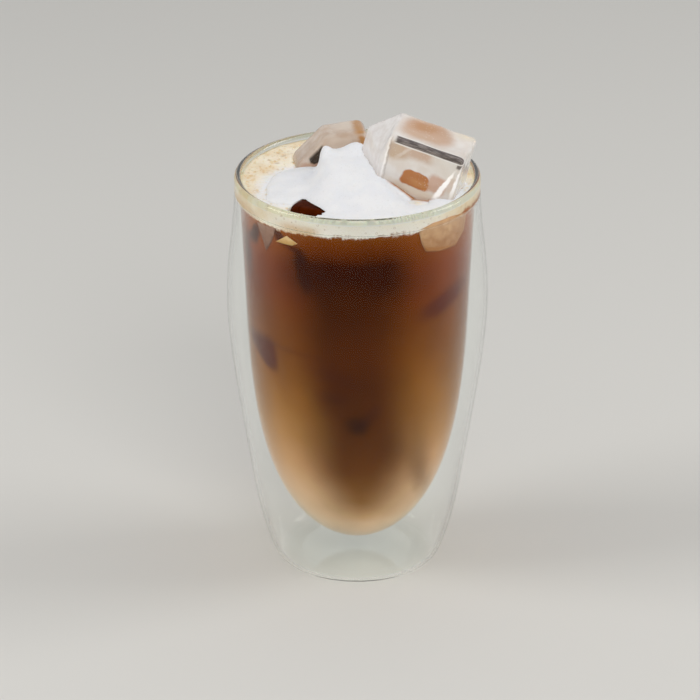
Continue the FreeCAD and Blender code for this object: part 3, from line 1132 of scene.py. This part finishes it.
# the ice blocks that stand out of the drink
ice = {
    "melt": 0.28,           # depth of the broad melting
    "ripple": 0.05,
    "cloudy": 0.62,         # the share of the light that the ice scatters
    "tint": (0.985, 0.99, 0.995, 1.0),
    "roughness": 0.02,
    "relief": (0.1, 0.2),
    "glintLight": 0.25,
    "domeFoot": -2.2,       # the dark corner is a dome from here up, against the froth's top
    "domeLift": -0.1,
    "specks": (1.9, 0.35, (0.95, 0.90, 0.84, 1.0)),
    "leftFace": ((-13.2, -12.2), (0.90, 0.89, 0.90, 1.0), (0.76, 0.72, 0.71, 1.0)),
    # painted refraction: a dark bar along the large block's upper front edge, with painted highlights along
    # its edges
    "bar": {
        "inside": (0.4, 0.6),       # how far it lies under the top and behind the front
        "ends": ((-11.2, -10.2), (12.6, 13.4)),
        "lightReach": (1.75, 2.0),
        "darkReach": (1.25, 1.5),
        "light": (0.96, 0.94, 0.92, 1.0),
        "dark": (0.055, 0.045, 0.045, 1.0),
        "grey": (0.24, 0.21, 0.205, 1.0),
    },
    # how each block is turned about X, Y and Z, its middle, the grain of its mesh and how often its
    # edges are smoothed (melted), half its depth and height, its colours, which are partly its cloudiness
    # and partly painted refraction of the drink, froth and foam round it, gloss and refraction
    "blocks": {
        "right": ((7.0, 15.0, -14.5), (21.80, -9.80, frothTop + 5.3), 0.5, 2, 8.8, 15.5,
                  (0.92, 0.90, 0.88), (0.84, 0.78, 0.73), 0.6, 1.31),
        "back": ((0.0, -6.0, 8.0), (-3.2, 17.8, frothTop + 1.6), 0.5, 4, 7.5, 10.0,
                 (0.70, 0.61, 0.54), (0.58, 0.45, 0.36), 0.3, 1.31),
        "front": ((6.4, 9.3, 60.9), (-14.03, -24.97, frothTop - 7.1), 0.9, 60, 6.4, 9.3,
                  (0.12, 0.018, 0.001), (0.05, 0.007, 0.001), 0.0, 1.04),
    },
}
# soft patches on a block's front (across, up) or top (across, back), given as the drink's are; they are
# painted refraction, lighter and darker, of the drink, froth and foam that the clear ice shows, and the
# glints are painted highlights that also glow
icePatches = {
    "right": {
        "top": [
            (-11.5, 3.0, 0, 6.0, 12.0, 0.0, 1.5, 0.7, (0.87, 0.84, 0.82)),
            (-2.8, 1.6, 4, 17.0, 13.0, -0.1, 2.0, 0.8, (0.62, 0.37, 0.22)),
            (-3.6, 3.4, 8, 10.0, 6.0, 0.0, 2.0, 0.75, (0.54, 0.24, 0.08)),
            (3.0, 0.6, 0, 7.0, 5.0, 0.0, 1.8, 0.55, (0.68, 0.45, 0.32)),
            (10.0, 7.0, 20, 7.0, 4.0, 0.0, 1.8, 0.6, (0.88, 0.80, 0.60)),
        ],
        "front": [
            (-9.4, 11.0, 18, 6.8, 6.4, 0.0, 1.2, 0.85, (0.60, 0.42, 0.28)),
            (-1.8, 12.4, 0, 10.0, 5.0, 0.0, 1.4, 0.85, (0.62, 0.42, 0.30)),
            (-6.6, 11.6, -38, 0.9, 7.5, 0.0, 0.5, 0.7, (0.86, 0.76, 0.68)),
            (7.0, 11.0, 0, 8.0, 6.0, 0.0, 1.5, 0.6, (0.84, 0.80, 0.75)),
            (-1.2, -1.8, -4, 16.0, 3.4, 0.0, 0.8, 0.85, (0.80, 0.70, 0.58)),
            (6.4, 3.4, -8, 6.6, 6.4, 0.0, 0.9, 0.9, (0.66, 0.40, 0.28)),
            (-1.0, 2.6, -4, 9.4, 6.0, -0.14, 0.3, 0.97, (0.48, 0.14, 0.018)),
            (0.6, 1.4, -4, 6.0, 2.4, 0.0, 0.9, 0.6, (0.62, 0.28, 0.09)),
            (-2.4, -4.6, -14, 16.0, 2.2, 0.0, 0.5, 0.85, (0.40, 0.15, 0.035)),
            (10.9, 5.0, -4, 2.2, 5.5, 0.5, 0.4, 0.75, (0.74, 0.58, 0.48)),
            (12.2, 13.2, -10, 1.8, 3.0, 0.0, 0.3, 0.9, (0.06, 0.05, 0.05)),
            (-11.8, 7.0, 2, 0.5, 15.0, 0.0, 0.3, 0.6, (0.42, 0.36, 0.33)),
        ],
        "glints": [
            (8.6, 3.6, -19, 1.6, 13.0, -0.35, 0.3, 1.0, (1.0, 0.99, 0.98)),
            (12.5, 7.0, -6, 1.2, 13.0, -0.2, 0.3, 1.0, (1.0, 0.99, 0.99)),
            (-12.6, 7.0, 0, 0.6, 17.0, 0.0, 0.3, 0.7, (0.98, 0.97, 0.96)),
        ],
    },
    "back": {
        "top": [
            (0.0, 2.0, 0, 9.0, 8.0, 0.0, 1.6, 0.8, (0.80, 0.73, 0.66)),
            (5.4, -1.0, 0, 5.4, 15.0, 0.0, 1.2, 0.95, (0.50, 0.24, 0.07)),
        ],
        "front": [
            (-3.0, 6.4, 0, 9.0, 6.0, 0.0, 1.4, 0.8, (0.74, 0.62, 0.53)),
            (5.6, 7.0, 0, 4.6, 9.0, 0.0, 1.1, 0.95, (0.48, 0.22, 0.06)),
            (-13.4, 1.0, -4, 9.0, 1.8, 0.0, 0.5, 0.8, (0.62, 0.40, 0.30)),
            (-11.5, 4.4, 6, 5.4, 6.2, 0.15, 0.45, 0.97, (0.016, 0.012, 0.010)),
        ],
    },
    "front": {"top": [], "front": []},
}


# paints the dark refraction bar inside the upper front edge, with painted highlights beside it
def paintedRefractionBar(tree, own, across, tone):
    bar = ice["bar"]
    _, _, _, _, halfDepth, halfHeight, *_ = ice["blocks"]["right"]
    _, depth, height = partsOf(tree, own)
    under, behind = bar["inside"]
    down = minus(tree, height, halfHeight - under)
    away = lengthOf(tree, vectorOf(tree, down, plus(tree, depth, halfDepth - behind)))
    start, end = bar["ends"]
    along = times(tree, smoothRange(tree, across, *start), smoothRange(tree, across, *end, 1.0, 0.0))
    streak = put(tree, "ShaderNodeMapping", {"Vector": own, "Scale": (0.25, 2.6, 2.6)}).outputs[0]
    dark = mixColours(tree, cloud(tree, streak, 1.0, 0.0, 1.0, 3.0, 0.35, 0.65), bar["dark"], bar["grey"])
    for reach, strength, barTone in (("lightReach", 0.9, bar["light"]), ("darkReach", 1.0, dark)):
        mask = times(tree, smoothRange(tree, away, *bar[reach], strength, 0.0), along)
        tone = mixColours(tree, mask, tone, barTone)
    return tone


def iceMaterial(name):
    turns, middle, _, _, halfDepth, halfHeight, pale, dim, gloss, index = ice["blocks"][name]
    material, tree, shader = clearMaterial(
        name + "Ice", ice["tint"], index, ice["roughness"], gloss, 1 - ice["cloudy"],
    )
    point = pointInMillimetres(tree)
    turned = [math.radians(turn) for turn in turns]
    links = {"Vector": point, "Location": middle, "Rotation": turned}
    own = put(tree, "ShaderNodeMapping", links, vector_type="TEXTURE").outputs[0]
    across, depth, height = partsOf(tree, own)
    # the block's colours: its cloudiness and painted refraction of what stands round it
    tone = mixColours(tree, cloud(tree, own, 0.22, 0.0, 1.0, 4.0), (*pale, 1.0), (*dim, 1.0))
    bent = wobbled(tree, own, 0.6, 1.0, 3.0)
    bentAcross, bentDepth, _ = partsOf(tree, bent)
    onTop = smoothRange(tree, height, halfHeight - 1.4, halfHeight - 0.5)
    onFront = smoothRange(tree, depth, 0.5 - halfDepth, 1.4 - halfDepth, 1.0, 0.0)
    patches = icePatches[name]
    # painted refraction on the top and the front, then painted highlights that glow
    tone = patched(tree, vectorOf(tree, bentAcross, 0.0, bentDepth), tone, patches["top"], onTop, 3.0)
    tone = patched(tree, bent, tone, patches["front"], onFront, 5.0)
    if "glints" in patches:
        tone = patched(tree, bent, tone, patches["glints"], onFront)
        shine = patched(tree, bent, (0.0, 0.0, 0.0, 1.0), patches["glints"], onFront)
        tree.links.new(shine, shader.inputs["Emission Color"])
        shader.inputs["Emission Strength"].default_value = ice["glintLight"]
    if name != "front":
        cells, share, speck = ice["specks"]
        specks = useGroup(tree, smallBubbles, {"Point": own, "Cells": cells, "Share": share})
        busy = cloud(tree, own, 0.3, 0.0, 0.55, 2.0, 0.4, 0.65)
        tone = mixColours(tree, times(tree, specks["Rim"], busy), tone, speck)
    if name == "right":
        # the left face gets its own whitish grey: painted refraction of what the clear ice shows there
        edges, light, grey = ice["leftFace"]
        face = mixColours(tree, cloud(tree, own, 0.4), light, grey)
        tone = mixColours(tree, smoothRange(tree, across, *edges, 0.75, 0.0), tone, face)
        tone = paintedRefractionBar(tree, own, bentAcross, tone)
    tree.links.new(tone, shader.inputs["Base Color"])
    addRelief(tree, shader, cloud(tree, point, 0.5, 0.0, 1.0, 3.0, 0.2, 0.8), *ice["relief"])
    return material


def makeIce():
    for name, (_, _, voxel, smoothing, *_) in ice["blocks"].items():
        thing = nodeCopy("ice_" + name, "iceBlock_" + name, iceMaterial(name))
        remeshed(thing, voxel, smoothing)
        points = places(thing)
        normals = normalsOf(thing)
        depth = ice["melt"] * (noiseAt(points, 0.14, 4.0) - 0.45) + ice["ripple"] * noiseAt(points, 0.6, 9.0)
        points += normals * depth[:, None]
        if name == "front":
            # the corner that shows has melted to a dome
            foot = frothTop + ice["domeFoot"]
            height = points[:, 2].max() - foot
            share = np.clip((points[:, 2] - foot) / height, 0, 1)
            points[:, 2] += height * (1 - (1 - share) ** 2 - share) + ice["domeLift"]
        place(thing, points)
        thing.data.shade_smooth()
        ridden(thing, "clear_ice", "ice_" + name)


makeIce()
print("ice: three blocks")
